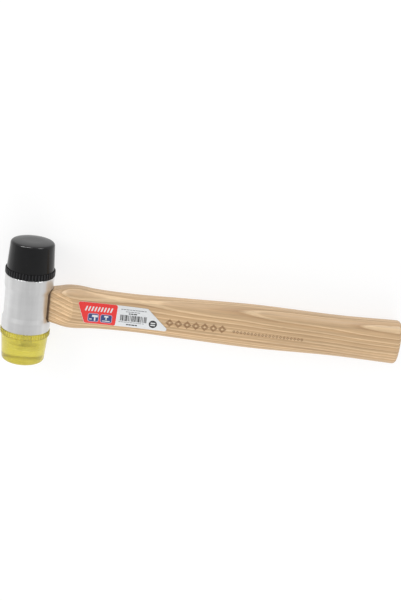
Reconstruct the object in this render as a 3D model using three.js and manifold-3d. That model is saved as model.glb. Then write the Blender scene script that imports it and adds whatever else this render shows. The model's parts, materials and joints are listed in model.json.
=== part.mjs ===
// Two-face mallet with a hollow, shot-loaded head on a hickory handle.
// Millimetres. Working frame: X runs along the handle, Y along the head (black face at +Y),
// Z towards the labelled side. The finished group lies on its side on the plane Z = 0.
import * as THREE from "three";
import { mergeVertices } from "three/addons/utils/BufferGeometryUtils.js";
import Module from "manifold-3d";

const wasm = await Module();
wasm.setup();

// ---- driving dimensions -------------------------------------------------------------------

const GAP = 0.3; // air left between neighbouring pieces
const ROUND_SEGMENTS = 48;
const SMALL_SEGMENTS = 32;

// barrel of the head
const BARREL_TOP = 21.05;
const BARREL_BOTTOM = -19.8;
const BARREL_RADIUS = 16.6;
const BAND_RADIUS = 17.5;
const UPPER_BAND_EDGE = 12.4; // where the upper band meets the plain barrel
const LOWER_BAND_EDGE = -11.9;
const BAND_TAPER = 3.2; // length of the slope from a band down to the plain barrel
const BARREL_CHAMFER = 0.45;
const BORE_RADIUS = 14.6;
const BEYOND = 2 * BAND_RADIUS; // past the outside of the head, for cuts

// eye, neck and sleeve, half sizes along Y and Z
const NECK_HALF_HEIGHT = 11.1;
const NECK_HALF_THICKNESS = 6.4;
const SLEEVE_WALL = 1.0;
const EYE_CORNER = 1.2;
const EYE_CORNER_STEPS = 4;

// end plugs and the screws of the two faces
const PLUG_THICKNESS = 5.6;
const PLUG_INSET = 0.5;
const SCREW_RADIUS = 4.0; // M8 x 1.25
const SCREW_LENGTH = 7.2; // from the back of a face to the tip of its screw
const SCREW_CHAMFER = 0.8;
const FLANGE_RADIUS = 7.2;
const FLANGE_DEPTH = 11.0; // from the back of a face to the flange
const FLANGE_THICKNESS = 3.8;
const WASHER_RADIUS = 7.4;
const WASHER_THICKNESS = 1.0;

// striking faces
const RIM_RADIUS = 17.9;
const BLACK_RIM_HEIGHT = 4.6;
const YELLOW_RIM_HEIGHT = 4.1;
const RIM_GROOVE_DEPTH = 1.1; // a groove parts the rim's lip from the tapered body
const RIM_LIP = 0.5;
const TAPER_START_RADIUS = 17.1;
const BLACK_END_RADIUS = 15.65;
const YELLOW_END_RADIUS = 15.35;
const BLACK_LENGTH = 25.0;
const YELLOW_LENGTH = 25.0;
const BLACK_EDGE_RADIUS = 2.6;
const YELLOW_EDGE_RADIUS = 2.5;
const FACE_CROWN = 0.8; // how far the flat middle of a striking face stands above its rounded edge
const FACE_FLAT_RADIUS = 6.0;
const FACE_EDGE_STEPS = 6;
const FACE_CROWN_STEPS = 4;

// handle: stations along X with half height, half thickness and squareness of the section
const HANDLE_STATIONS = [
  { x: 13.0, height: 11.3, thickness: 7.9, squareness: 5.0 },
  { x: 21.0, height: 13.1, thickness: 9.4, squareness: 4.2 },
  { x: 29.0, height: 15.1, thickness: 10.6, squareness: 3.2 },
  { x: 35.0, height: 15.5, thickness: 10.8, squareness: 2.8 },
  { x: 46.0, height: 14.5, thickness: 10.4, squareness: 2.7 },
  { x: 72.0, height: 13.8, thickness: 9.9, squareness: 2.6 },
  { x: 112.0, height: 14.75, thickness: 10.3, squareness: 2.6 },
  { x: 160.0, height: 16.0, thickness: 11.1, squareness: 2.6 },
  { x: 234.0, height: 15.25, thickness: 10.6, squareness: 2.6 },
  { x: 268.0, height: 16.1, thickness: 11.1, squareness: 2.6 },
  { x: 277.0, height: 16.3, thickness: 11.2, squareness: 2.6 },
];
const HANDLE_START = 13.0;
const HANDLE_END = 274.3;
const HANDLE_RINGS = 36;
const HANDLE_SIDES = 40;
const BUTT_ROUND = 3.0;
const BUTT_ROUND_RINGS = 4;
const CHEEK_END = 33.0; // the flat cheeks run out here
const TENON_END = -12.7; // just short of the closed far wall of the barrel
const TENON_OVERLAP = 2.0; // how far the tenon runs on into the body of the handle

// wedge that spreads the tenon's end as the handle goes home, and the pin that locks it
const WEDGE_LENGTH = 17.0;
const WEDGE_THICKNESS = 2.4;
const WEDGE_TIP = 0.4;
const PIN_RADIUS = 1.25;
const PIN_X = 7.2;
const PIN_BACK = -14.1; // just under the barrel's surface, on the side away from the label
const PIN_FRONT = 3.6;

// sticker on the handle: corners in X and Y
const LABEL_TOP_LEFT = new THREE.Vector2(36.0, 8.3);
const LABEL_TOP_RIGHT = new THREE.Vector2(86.7, 7.7);
const LABEL_BOTTOM_LEFT = new THREE.Vector2(41.9, -7.9);
const LABEL_BOTTOM_RIGHT = new THREE.Vector2(104.2, -8.0);
const LABEL_THICKNESS = 0.25;
const LABEL_COLUMNS = 20;
const LABEL_ROWS = 8;

// shot charge: columns along X, rows along Y, one layer on each side of the sleeve
const SHOT_RADIUS = 2.6;
const SHOT_COLUMNS = 2;
const SHOT_ROWS = 4;
const SHOT_PITCH_X = 6.0;
const SHOT_PITCH_Y = 5.6;

// ---- solids -------------------------------------------------------------------------------

// A closed three.js geometry as a solid that can be joined and cut.
function solid(geometry) {
  const bare = geometry.clone();
  bare.deleteAttribute("normal");
  bare.deleteAttribute("uv");
  const merged = mergeVertices(bare, 1e-4);
  const corners = merged.index.array;
  const kept = [];
  for (let i = 0; i < corners.length; i += 3) {
    const [a, b, c] = corners.slice(i, i + 3);
    if (a !== b && b !== c && c !== a) kept.push(a, b, c);
  }
  const vertProperties = merged.attributes.position.array;
  return new wasm.Manifold(new wasm.Mesh({ numProp: 3, vertProperties, triVerts: new Uint32Array(kept) }));
}

function geometryOf(made) {
  const mesh = made.getMesh();
  const geometry = new THREE.BufferGeometry();
  geometry.setAttribute("position", new THREE.BufferAttribute(new Float32Array(mesh.vertProperties), 3));
  geometry.setIndex(new THREE.BufferAttribute(new Uint32Array(mesh.triVerts), 1));
  geometry.computeVertexNormals();
  return geometry;
}

// A body turned about Y from a list of [radius, y] points.
function turned(points, segments = ROUND_SEGMENTS) {
  return new THREE.LatheGeometry(points.map(([radius, y]) => new THREE.Vector2(radius, y)), segments);
}

// A ring turned about Y, from its corners listed with the outer wall rising.
function turnedRing(corners, segments) {
  return turned([...corners, corners[0]], segments);
}

// A rectangle with rounded corners in Y and Z, run along X.
function roundedBar(halfHeight, halfThickness, corner, fromX, toX) {
  const h = halfHeight - corner;
  const t = halfThickness - corner;
  const quarter = Math.PI / 2;
  const outline = new THREE.Shape();
  outline.absarc(t, h, corner, 0, quarter);
  outline.absarc(-t, h, corner, quarter, 2 * quarter);
  outline.absarc(-t, -h, corner, 2 * quarter, 3 * quarter);
  outline.absarc(t, -h, corner, 3 * quarter, 4 * quarter);
  const depth = toX - fromX;
  const curveSegments = EYE_CORNER_STEPS;
  const bar = new THREE.ExtrudeGeometry(outline, { depth, curveSegments, bevelEnabled: false });
  return bar.rotateY(quarter).translate(fromX, 0, 0);
}

// A flat outline given in one plane and run to both sides of it by half a width.
function slab(points, halfWidth) {
  const outline = new THREE.Shape(points.map(([u, v]) => new THREE.Vector2(u, v)));
  const plate = new THREE.ExtrudeGeometry(outline, { depth: 2 * halfWidth, bevelEnabled: false });
  return plate.translate(0, 0, -halfWidth);
}

const material = (colour, roughness, metalness) =>
  new THREE.MeshStandardMaterial({ color: colour, roughness, metalness });

const root = new THREE.Group();

function addPiece(name, geometry, look) {
  const mesh = new THREE.Mesh(geometry, look);
  mesh.name = name;
  root.add(mesh);
  return mesh;
}

// ---- barrel, plugs and sleeve -------------------------------------------------------------

// Outer wall of the barrel, from the lower end to the upper one, moved out by a clearance.
function barrelWall(clearance) {
  const plain = BARREL_RADIUS + clearance;
  const band = BAND_RADIUS + clearance;
  return [
    [band - BARREL_CHAMFER, BARREL_BOTTOM - clearance],
    [band, BARREL_BOTTOM - clearance + BARREL_CHAMFER],
    [band, LOWER_BAND_EDGE + clearance],
    [plain, LOWER_BAND_EDGE + BAND_TAPER + clearance],
    [plain, UPPER_BAND_EDGE - BAND_TAPER - clearance],
    [band, UPPER_BAND_EDGE - clearance],
    [band, BARREL_TOP + clearance - BARREL_CHAMFER],
    [band - BARREL_CHAMFER, BARREL_TOP + clearance],
  ];
}

// The barrel filled solid and grown, which nothing outside it may enter.
function barrelEnvelope(clearance) {
  const bottom = [0, BARREL_BOTTOM - clearance];
  const top = [0, BARREL_TOP + clearance];
  return solid(turned([bottom, ...barrelWall(clearance), top]));
}

// The neck's section grown by a clearance and run out past the handle's side of the head.
function eyeBar(clearance, fromX) {
  const halfHeight = NECK_HALF_HEIGHT + clearance;
  const halfThickness = NECK_HALF_THICKNESS + clearance;
  return solid(roundedBar(halfHeight, halfThickness, EYE_CORNER, fromX, BEYOND));
}

// The eye opens on the handle's side only.
function makeBarrel() {
  const shell = turnedRing([[BORE_RADIUS, BARREL_BOTTOM], ...barrelWall(0), [BORE_RADIUS, BARREL_TOP]]);
  return geometryOf(solid(shell).subtract(eyeBar(GAP, 0)).subtract(pinHole()));
}

// A disc with the screw's hole, resting in one end of the bore.
function makePlug(outerEnd, inwards) {
  const outside = outerEnd + inwards * PLUG_INSET;
  const inside = outside + inwards * PLUG_THICKNESS;
  const low = Math.min(outside, inside);
  const high = Math.max(outside, inside);
  const hole = SCREW_RADIUS + GAP;
  const wall = BORE_RADIUS - GAP;
  return turnedRing([[hole, low], [wall, low], [wall, high], [hole, high]]);
}

// A rectangular tube around the tenon, its ends coped to the bore.
function makeSleeve() {
  const outer = eyeBar(GAP + SLEEVE_WALL, -BEYOND);
  const inner = eyeBar(GAP, -BEYOND);
  const wall = BORE_RADIUS - GAP;
  const inside = turned([[0, BARREL_BOTTOM], [wall, BARREL_BOTTOM], [wall, BARREL_TOP], [0, BARREL_TOP]]);
  return geometryOf(outer.intersect(solid(inside)).subtract(inner).subtract(pinHole()));
}

// ---- handle -------------------------------------------------------------------------------

const sectionAlong = new THREE.CubicInterpolant(
  HANDLE_STATIONS.map((station) => station.x),
  HANDLE_STATIONS.flatMap((station) => [station.height, station.thickness, station.squareness]),
  3,
);

// Half height, half thickness and squareness of the handle at a place along X.
function sectionAt(x) {
  const [height, thickness, squareness] = sectionAlong.evaluate(x);
  return { height, thickness, squareness };
}

// Points of one superellipse section; inset draws it in evenly, for the rounded butt.
function sectionRing(x, inset) {
  const { height, thickness, squareness } = sectionAt(x);
  const ring = [];
  for (let i = 0; i < HANDLE_SIDES; i++) {
    const angle = (2 * Math.PI * i) / HANDLE_SIDES;
    const c = Math.cos(angle);
    const s = Math.sin(angle);
    const y = (height - inset) * Math.sign(c) * Math.abs(c) ** (2 / squareness);
    const z = (thickness - inset) * Math.sign(s) * Math.abs(s) ** (2 / squareness);
    ring.push(new THREE.Vector3(x, y, z));
  }
  return ring;
}

// A closed skin over rings of points that follow each other along X.
function loft(rings) {
  const sides = rings[0].length;
  const points = rings.flat();
  const corners = [];
  for (let r = 0; r + 1 < rings.length; r++) {
    for (let i = 0; i < sides; i++) {
      const a = r * sides + i;
      const b = r * sides + ((i + 1) % sides);
      corners.push(a, b, a + sides, b, b + sides, a + sides);
    }
  }
  const first = points.length;
  points.push(new THREE.Vector3(rings[0][0].x, 0, 0));
  points.push(new THREE.Vector3(rings.at(-1)[0].x, 0, 0));
  const lastRing = (rings.length - 1) * sides;
  for (let i = 0; i < sides; i++) {
    const next = (i + 1) % sides;
    corners.push(first, next, i, first + 1, lastRing + i, lastRing + next);
  }
  return new THREE.BufferGeometry().setFromPoints(points).setIndex(corners);
}

function handleBlank() {
  const rings = [];
  const bodyEnd = HANDLE_END - BUTT_ROUND;
  for (let i = 0; i < HANDLE_RINGS; i++) {
    rings.push(sectionRing(THREE.MathUtils.lerp(HANDLE_START, bodyEnd, i / HANDLE_RINGS), 0));
  }
  for (let i = 0; i <= BUTT_ROUND_RINGS; i++) {
    const angle = (Math.PI / 2) * (i / BUTT_ROUND_RINGS);
    rings.push(sectionRing(bodyEnd + BUTT_ROUND * Math.sin(angle), BUTT_ROUND * (1 - Math.cos(angle))));
  }
  return solid(loft(rings));
}

// The wood above one flat cheek: a wedge that thins the handle towards the head.
function cheekCut(side) {
  const cheekTop = sectionAt(CHEEK_END).thickness;
  const slope = (cheekTop - NECK_HALF_THICKNESS) / (CHEEK_END - BARREL_RADIUS);
  const start = HANDLE_START - 1;
  const startHeight = NECK_HALF_THICKNESS - slope * (BARREL_RADIUS - start);
  const outline = [[start, startHeight], [CHEEK_END, cheekTop], [CHEEK_END, BEYOND], [start, BEYOND]];
  const cut = slab(outline, BEYOND).rotateX(Math.PI / 2);
  if (side > 0) cut.rotateX(Math.PI);
  return solid(cut);
}

// A wedge in the X and Y plane, thick at the tenon's end.
function tenonWedge(clearance) {
  const half = WEDGE_THICKNESS / 2 + clearance;
  const tip = WEDGE_TIP / 2 + clearance;
  const start = TENON_END - 2 * clearance;
  const end = TENON_END + WEDGE_LENGTH + clearance;
  const outline = [[start, -half], [end, -tip], [end, tip], [start, half]];
  const width = clearance > 0 ? BEYOND : NECK_HALF_HEIGHT - GAP;
  return solid(slab(outline, width).rotateX(-Math.PI / 2));
}

// A round bar along Z through the pin's place.
function pinBar(radius, back, front) {
  const bar = new THREE.CylinderGeometry(radius, radius, front - back, SMALL_SEGMENTS);
  return bar.rotateX(Math.PI / 2).translate(PIN_X, 0, (front + back) / 2);
}

// The pin's hole, drilled from the back through barrel, sleeve and neck.
const pinHole = () => solid(pinBar(PIN_RADIUS + GAP, -BEYOND, PIN_FRONT + GAP));

function makeHandle() {
  const neck = [NECK_HALF_HEIGHT, NECK_HALF_THICKNESS, EYE_CORNER - GAP];
  const tenon = solid(roundedBar(...neck, TENON_END, BAND_RADIUS + TENON_OVERLAP));
  const body = handleBlank().subtract(cheekCut(1)).subtract(cheekCut(-1)).subtract(barrelEnvelope(GAP));
  return geometryOf(body.add(tenon).subtract(tenonWedge(GAP)).subtract(pinHole()));
}

// ---- sticker ------------------------------------------------------------------------------

// Height of the handle's broad face over a point in X and Y.
function handleSurface(x, y) {
  const { height, thickness, squareness } = sectionAt(x);
  return thickness * (1 - Math.abs(y / height) ** squareness) ** (1 / squareness);
}

// A thin sheet that follows the broad face between four corners.
function makeLabel() {
  const points = [];
  const layers = [GAP, GAP + LABEL_THICKNESS];
  for (const lift of layers) {
    for (let r = 0; r <= LABEL_ROWS; r++) {
      const left = LABEL_BOTTOM_LEFT.clone().lerp(LABEL_TOP_LEFT, r / LABEL_ROWS);
      const right = LABEL_BOTTOM_RIGHT.clone().lerp(LABEL_TOP_RIGHT, r / LABEL_ROWS);
      for (let c = 0; c <= LABEL_COLUMNS; c++) {
        const spot = left.clone().lerp(right, c / LABEL_COLUMNS);
        points.push(new THREE.Vector3(spot.x, spot.y, handleSurface(spot.x, spot.y) + lift));
      }
    }
  }
  const across = LABEL_COLUMNS + 1;
  const layer = across * (LABEL_ROWS + 1);
  const corners = [];
  for (let r = 0; r < LABEL_ROWS; r++) {
    for (let c = 0; c < LABEL_COLUMNS; c++) {
      const a = r * across + c;
      const b = a + 1;
      const d = a + across;
      const e = d + 1;
      corners.push(layer + a, layer + b, layer + e, layer + a, layer + e, layer + d);
      corners.push(a, e, b, a, d, e);
    }
  }
  const edge = [];
  for (let c = 0; c < LABEL_COLUMNS; c++) edge.push(c);
  for (let r = 0; r < LABEL_ROWS; r++) edge.push(r * across + LABEL_COLUMNS);
  for (let c = LABEL_COLUMNS; c > 0; c--) edge.push(LABEL_ROWS * across + c);
  for (let r = LABEL_ROWS; r > 0; r--) edge.push(r * across);
  edge.forEach((a, i) => {
    const b = edge[(i + 1) % edge.length];
    corners.push(a, b, layer + b, a, layer + b, layer + a);
  });
  return new THREE.BufferGeometry().setFromPoints(points).setIndex(corners);
}

// ---- striking faces -----------------------------------------------------------------------

// A face standing on Y = 0 with its striking end up, hollowed for its screw and washer.
function makeFace({ length, rimHeight, endRadius, edgeRadius }) {
  const hole = SCREW_RADIUS + GAP;
  const flange = FLANGE_RADIUS + GAP;
  const recess = WASHER_RADIUS + GAP;
  const recessDepth = WASHER_THICKNESS + 2 * GAP;
  const crownRadius = endRadius - edgeRadius;
  const edgeTop = length - FACE_CROWN;
  const profile = [
    [hole, recessDepth],
    [recess, recessDepth],
    [recess, 0],
    [RIM_RADIUS - GAP, 0],
    [RIM_RADIUS, GAP],
    [RIM_RADIUS, rimHeight - RIM_LIP],
    [RIM_RADIUS - GAP, rimHeight],
    [TAPER_START_RADIUS + GAP, rimHeight],
    [TAPER_START_RADIUS, rimHeight - RIM_GROOVE_DEPTH],
  ];
  for (let i = 0; i <= FACE_EDGE_STEPS; i++) {
    const angle = (Math.PI / 2) * (i / FACE_EDGE_STEPS);
    const y = edgeTop - edgeRadius * (1 - Math.sin(angle));
    profile.push([crownRadius + edgeRadius * Math.cos(angle), y]);
  }
  for (let i = FACE_CROWN_STEPS - 1; i >= 0; i--) {
    const share = i / FACE_CROWN_STEPS;
    const radius = FACE_FLAT_RADIUS + (crownRadius - FACE_FLAT_RADIUS) * share;
    profile.push([radius, length - FACE_CROWN * share ** 2]);
  }
  profile.push([0, length]);
  profile.push([0, FLANGE_DEPTH + FLANGE_THICKNESS + GAP]);
  profile.push([flange, FLANGE_DEPTH + FLANGE_THICKNESS + GAP]);
  profile.push([flange, FLANGE_DEPTH - GAP]);
  profile.push([hole, FLANGE_DEPTH - GAP]);
  profile.push([hole, recessDepth]);
  return turned(profile);
}

// The screw moulded into a face: flange up inside it, shank down through Y = 0.
function makeScrew() {
  return turned(
    [
      [0, -SCREW_LENGTH],
      [SCREW_RADIUS - SCREW_CHAMFER, -SCREW_LENGTH],
      [SCREW_RADIUS, -SCREW_LENGTH + SCREW_CHAMFER],
      [SCREW_RADIUS, FLANGE_DEPTH],
      [FLANGE_RADIUS, FLANGE_DEPTH],
      [FLANGE_RADIUS, FLANGE_DEPTH + FLANGE_THICKNESS],
      [0, FLANGE_DEPTH + FLANGE_THICKNESS],
    ],
    SMALL_SEGMENTS,
  );
}

function makeWasher() {
  const hole = SCREW_RADIUS + GAP;
  const low = GAP;
  const high = GAP + WASHER_THICKNESS;
  return turnedRing([[hole, low], [WASHER_RADIUS, low], [WASHER_RADIUS, high], [hole, high]], SMALL_SEGMENTS);
}

// One face with its screw and washer, turned to point out of its end of the head. The seat is
// where its back lies.
function addFace(name, shape, seat, flipped, look) {
  const pieces = [
    addPiece(`${name}_face`, makeFace(shape), look),
    addPiece(`${name}_face_screw`, makeScrew(), material(0xb4b5b8, 0.35, 1)),
    addPiece(`${name}_face_washer`, makeWasher(), material(0xc2c3c6, 0.3, 1)),
  ];
  for (const piece of pieces) {
    if (flipped) piece.rotation.x = Math.PI;
    piece.position.y = seat;
  }
}

// ---- shot ---------------------------------------------------------------------------------

function addShot() {
  const ball = new THREE.IcosahedronGeometry(SHOT_RADIUS, 1);
  const steel = [0x8d9094, 0.3, 1];
  const layerZ = NECK_HALF_THICKNESS + GAP + SLEEVE_WALL + GAP + SHOT_RADIUS;
  let count = 0;
  for (const side of [1, -1]) {
    for (let row = 0; row < SHOT_ROWS; row++) {
      for (let column = 0; column < SHOT_COLUMNS; column++) {
        count += 1;
        const piece = addPiece(`shot_${String(count).padStart(2, "0")}`, ball, material(...steel));
        const x = (column - (SHOT_COLUMNS - 1) / 2) * SHOT_PITCH_X;
        const y = (row - (SHOT_ROWS - 1) / 2) * SHOT_PITCH_Y;
        piece.position.set(x, y, side * layerZ);
      }
    }
  }
}

// ---- assembly -----------------------------------------------------------------------------

addPiece("head_barrel", makeBarrel(), material(0xc4c4c6, 0.35, 0.9));
addPiece("upper_plug", makePlug(BARREL_TOP, -1), material(0xa9abae, 0.4, 1));
addPiece("lower_plug", makePlug(BARREL_BOTTOM, 1), material(0xa9abae, 0.4, 1));
addPiece("handle_sleeve", makeSleeve(), material(0x9fa1a4, 0.45, 1));
addPiece("handle", makeHandle(), material(0xd2ad84, 0.55, 0));
addPiece("tenon_wedge", geometryOf(tenonWedge(0)), material(0xb98f62, 0.6, 0));
addPiece("handle_pin", pinBar(PIN_RADIUS, PIN_BACK, PIN_FRONT), material(0x8b8d90, 0.4, 1));
addPiece("handle_label", makeLabel(), material(0xe8505a, 0.45, 0));
const blackShape = {
  length: BLACK_LENGTH,
  rimHeight: BLACK_RIM_HEIGHT,
  endRadius: BLACK_END_RADIUS,
  edgeRadius: BLACK_EDGE_RADIUS,
};
const yellowShape = {
  length: YELLOW_LENGTH,
  rimHeight: YELLOW_RIM_HEIGHT,
  endRadius: YELLOW_END_RADIUS,
  edgeRadius: YELLOW_EDGE_RADIUS,
};
addFace("black", blackShape, BARREL_TOP + GAP, false, material(0x272729, 0.4, 0));
addFace("yellow", yellowShape, BARREL_BOTTOM - GAP, true, material(0xd6c540, 0.15, 0));
addShot();

// The mallet lies on the two rims and the lower edge of the butt: tip it about Y until the butt
// comes down to the plane of the rims, then put the origin under the middle of its box.
const buttEdge = HANDLE_END - BUTT_ROUND;
root.rotation.y = Math.asin((RIM_RADIUS - sectionAt(buttEdge).thickness) / buttEdge);
root.updateMatrixWorld(true);
const box = new THREE.Box3().setFromObject(root, true);
const centre = box.getCenter(new THREE.Vector3());
root.position.set(-centre.x, -centre.y, -box.min.z);

const mallet = new THREE.Group();
mallet.add(root);

export default mallet;
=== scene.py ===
"""Looks of the two-face mallet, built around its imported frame. Everything is in metres."""

import json
import math

import bmesh
import bpy
import numpy as np
from mathutils import Matrix, Vector


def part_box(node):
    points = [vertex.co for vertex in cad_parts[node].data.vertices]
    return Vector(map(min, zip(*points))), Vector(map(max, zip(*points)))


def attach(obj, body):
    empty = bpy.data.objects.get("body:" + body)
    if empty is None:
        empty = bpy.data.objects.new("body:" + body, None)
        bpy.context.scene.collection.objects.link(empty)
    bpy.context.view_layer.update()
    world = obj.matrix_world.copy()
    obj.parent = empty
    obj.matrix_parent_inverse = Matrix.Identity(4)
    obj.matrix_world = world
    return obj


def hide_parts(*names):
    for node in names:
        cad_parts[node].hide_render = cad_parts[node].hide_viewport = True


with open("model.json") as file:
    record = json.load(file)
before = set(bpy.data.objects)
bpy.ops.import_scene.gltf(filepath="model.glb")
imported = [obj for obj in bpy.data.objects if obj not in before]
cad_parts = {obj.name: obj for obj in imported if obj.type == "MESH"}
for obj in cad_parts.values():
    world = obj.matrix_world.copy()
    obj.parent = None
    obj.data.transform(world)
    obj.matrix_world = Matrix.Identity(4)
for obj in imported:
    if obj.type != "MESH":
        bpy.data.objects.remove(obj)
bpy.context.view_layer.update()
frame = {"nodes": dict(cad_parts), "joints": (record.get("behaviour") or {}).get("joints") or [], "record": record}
MM = 0.001

# ---- places from the frame ----------------------------------------------------------------

joints = {joint["name"]: joint for joint in frame["joints"]}
mounts = {mount["name"]: mount for mount in frame["record"]["mounts"]}
BLACK_SEAT = joints["black_face_turn"]["pos_m"][1]
YELLOW_SEAT = joints["yellow_face_turn"]["pos_m"][1]
HEAD_X, _, HEAD_Z = joints["black_face_turn"]["pos_m"]
BUTT = Vector(mounts["handle_butt"]["pos_m"])
ALONG = Vector(mounts["handle_butt"]["axis"]).normalized()
UP_HEAD = Vector((0, 1, 0))
OUT = ALONG.cross(UP_HEAD)

# The handle's frame: X along it from the head's axis, Y up the head, Z out of the labelled side.
HANDLE_TURN = Matrix((ALONG, UP_HEAD, OUT)).transposed().to_4x4()
HANDLE_FRAME = Matrix.Translation((HEAD_X, BUTT.y, HEAD_Z)) @ HANDLE_TURN
TO_HANDLE = HANDLE_FRAME.inverted()
HANDLE_END = (TO_HANDLE @ BUTT).x


def half_size(node, axis):
    """Half the length of a node's box along an axis."""
    low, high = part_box(node)
    return (high[axis] - low[axis]) / 2


RIM_RADIUS = half_size("black_face", 0)
BAND_RADIUS = half_size("head_barrel", 0)
FLANGE_RADIUS = half_size("black_face_screw", 0)
WASHER_RADIUS = half_size("black_face_washer", 0)
BLACK_LENGTH = 2 * half_size("black_face", 1)
YELLOW_LENGTH = 2 * half_size("yellow_face", 1)
SCREW_TIP = BLACK_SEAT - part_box("black_face_screw")[0].y
BARREL_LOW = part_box("head_barrel")[0].y
BARREL_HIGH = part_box("head_barrel")[1].y

# ---- driving dimensions -------------------------------------------------------------------

GAP = 0.3 * MM
BARREL_RADIUS = 16.6 * MM
BORE_RADIUS = 14.6 * MM
BAND_EDGE_LOW = BUTT.y - 11.9 * MM
BAND_EDGE_HIGH = BUTT.y + 12.4 * MM
BAND_TAPER = 3.2 * MM
NECK_HEIGHT = 11.1 * MM
NECK_THICKNESS = 6.4 * MM
EYE_CORNER = 1.2 * MM
MOUTH = 1.4 * MM
PITCH = 1.25 * MM
SCREW_RADIUS = 4.0 * MM
THREAD_DEPTH = 0.7 * MM
SCREW_CHAMFER = 0.9 * MM
FLANGE_DEPTH = 11.0 * MM
FLANGE_THICKNESS = 3.8 * MM
TEETH = 48
TOOTH_WALL = 0.7 * MM
FACE_CROWN = 0.8 * MM
FACE_FLAT_RADIUS = 6.0 * MM
SPANNER_HOLE_RADIUS = 1.5 * MM
SPANNER_HOLE_OFFSET = 9.5 * MM
CHEEK_END = 33.0 * MM
TENON_END = -12.7 * MM
TENON_SQUARENESS = 9.0
BUTT_ROUND = 3.0 * MM
PIN_X = 7.2 * MM
PIN_RADIUS = 1.25 * MM
PIN_BACK = -14.1 * MM
PIN_FRONT = 3.6 * MM
WEDGE_LENGTH = 17.0 * MM
WEDGE_THICK = 1.2 * MM
WEDGE_THIN = 0.2 * MM

# Handle sections: place along X, half height, half thickness, squareness.
HANDLE_SECTIONS = (
    (13.0, 11.3, 7.9, 5.0),
    (21.0, 13.1, 9.4, 4.2),
    (29.0, 15.1, 10.6, 3.2),
    (35.0, 15.5, 10.8, 2.8),
    (46.0, 14.5, 10.4, 2.7),
    (72.0, 13.8, 9.9, 2.6),
    (112.0, 14.75, 10.3, 2.6),
    (160.0, 16.0, 11.1, 2.6),
    (234.0, 15.25, 10.6, 2.6),
    (268.0, 16.1, 11.1, 2.6),
    (277.0, 16.3, 11.2, 2.6),
)

STATIONS = np.array(HANDLE_SECTIONS) * (MM, MM, MM, 1)
TANGENTS = np.gradient(STATIONS[:, 1:], STATIONS[:, 0], axis=0)


def section_at(x):
    """Half height, half thickness and squareness of the handle at a place along X."""
    i = int(np.clip(np.searchsorted(STATIONS[:, 0], x) - 1, 0, len(STATIONS) - 2))
    span = STATIONS[i + 1, 0] - STATIONS[i, 0]
    t = (x - STATIONS[i, 0]) / span
    h00 = (1 + 2 * t) * (1 - t) ** 2
    h10 = t * (1 - t) ** 2
    h01 = t * t * (3 - 2 * t)
    h11 = t * t * (t - 1)
    return (h00 * STATIONS[i, 1:] + h10 * span * TANGENTS[i]
            + h01 * STATIONS[i + 1, 1:] + h11 * span * TANGENTS[i + 1])


# ---- mesh tools ---------------------------------------------------------------------------


def link(name, data):
    """A new object in the scene."""
    made = bpy.data.objects.new(name, data)
    bpy.context.scene.collection.objects.link(made)
    return made


def shade(mesh, sharp):
    """Smooth shading, with edges that stay crisp where they turn more than sharp degrees."""
    mesh.shade_smooth()
    mesh.set_sharp_from_angle(angle=math.radians(sharp))


def end_edit(edit, mesh):
    """Writes an edit to a mesh and frees it."""
    edit.to_mesh(mesh)
    edit.free()
    return mesh


def add_mesh(name, points, faces, material, sharp=35):
    """An object from points and faces, with points that coincide joined."""
    mesh = bpy.data.meshes.new(name)
    mesh.from_pydata([tuple(p) for p in points], [], [tuple(f) for f in faces])
    edit = bmesh.new()
    edit.from_mesh(mesh)
    bmesh.ops.remove_doubles(edit, verts=edit.verts, dist=1e-7)
    bmesh.ops.recalc_face_normals(edit, faces=edit.faces)
    shade(end_edit(edit, mesh), sharp)
    mesh.materials.append(material)
    return link(name, mesh)


def round_bar(name, radius, length, segments, middle):
    """A cutter for a round hole, along the Z of the frame at its middle."""
    edit = bmesh.new()
    bmesh.ops.create_cone(edit, cap_ends=True, segments=segments, radius1=radius, radius2=radius,
                          depth=length, matrix=middle)
    return link(name, end_edit(edit, bpy.data.meshes.new(name)))


def place(piece, body, slot, *replaced):
    """Says which body a piece rides and hides the nodes it stands for. slot is not used."""
    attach(piece, body)
    if replaced:
        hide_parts(*replaced)
    return piece


def cut(piece, *cutters):
    """Takes the cutters out of a piece and removes them."""
    for cutter in cutters:
        modifier = piece.modifiers.new("cut", "BOOLEAN")
        modifier.operation = "DIFFERENCE"
        modifier.solver = "EXACT"
        modifier.object = cutter
    bpy.context.view_layer.update()
    evaluated = piece.evaluated_get(bpy.context.evaluated_depsgraph_get())
    made = bpy.data.meshes.new_from_object(evaluated)
    piece.modifiers.clear()
    piece.data = made
    for cutter in cutters:
        bpy.data.objects.remove(cutter)
    shade(made, 30)
    return piece


def rounded(corners, steps=4):
    """A closed outline from (radius, height, fillet) corners, each fillet drawn as an arc."""
    spots = [np.array(corner[:2], float) for corner in corners]
    outline = []
    for i, (here, corner) in enumerate(zip(spots, corners)):
        fillet = corner[2]
        before = spots[i - 1] - here
        after = spots[(i + 1) % len(spots)] - here
        long_before = np.linalg.norm(before)
        long_after = np.linalg.norm(after)
        before = before / long_before
        after = after / long_after
        half = 0.5 * math.acos(np.clip(before @ after, -1, 1))
        reach = min(fillet / math.tan(half), 0.49 * long_before, 0.49 * long_after) if fillet else 0
        if reach < 1e-7 or half > 1.55:
            outline.append(here)
            continue
        middle = before + after
        middle = here + middle / np.linalg.norm(middle) * reach / math.cos(half)
        start = here + before * reach - middle
        end = here + after * reach - middle
        sweep = math.acos(np.clip(start @ end / (start @ start), -1, 1))
        for k in range(steps + 1):
            a = math.sin(sweep * (1 - k / steps)) / math.sin(sweep)
            b = math.sin(sweep * k / steps) / math.sin(sweep)
            outline.append(middle + a * start + b * end)
    return outline


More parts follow.
